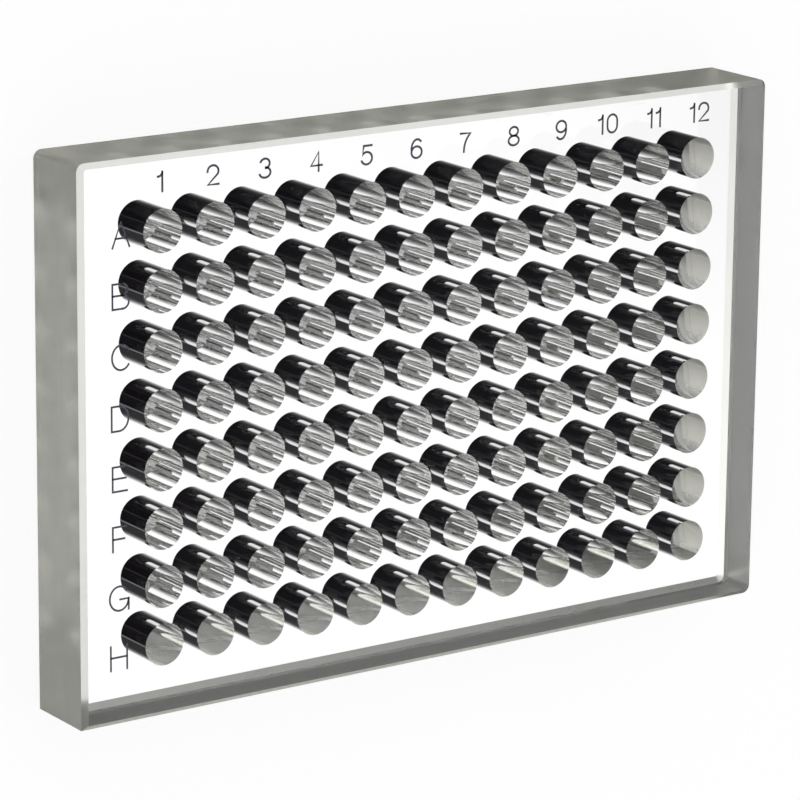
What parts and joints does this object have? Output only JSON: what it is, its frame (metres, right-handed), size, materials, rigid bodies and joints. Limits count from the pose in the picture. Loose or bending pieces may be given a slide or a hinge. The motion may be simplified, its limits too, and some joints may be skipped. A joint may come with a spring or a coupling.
{
  "type": "microplate",
  "caption": "Flat clear quartz microplate: a drilled block with a grid of flat-bottomed round wells, a thin plate fused underneath and ground edge faces.",
  "frame": {"origin": "middle of the flat back face that the plate rests on", "axes": "+Z out of the wells' mouths, +X along the rows from the first column to the last, +Y towards the first row"},
  "size_m": [0.127, 0.0856, 0.014],
  "materials": {
    "block_quartz": "polished faces, ground edges",
    "base_quartz": "polished faces, ground edges"
  },
  "bodies": {
    "root": {"well_block": "block_quartz", "base_plate": "base_quartz"}
  },
  "joints": []
}
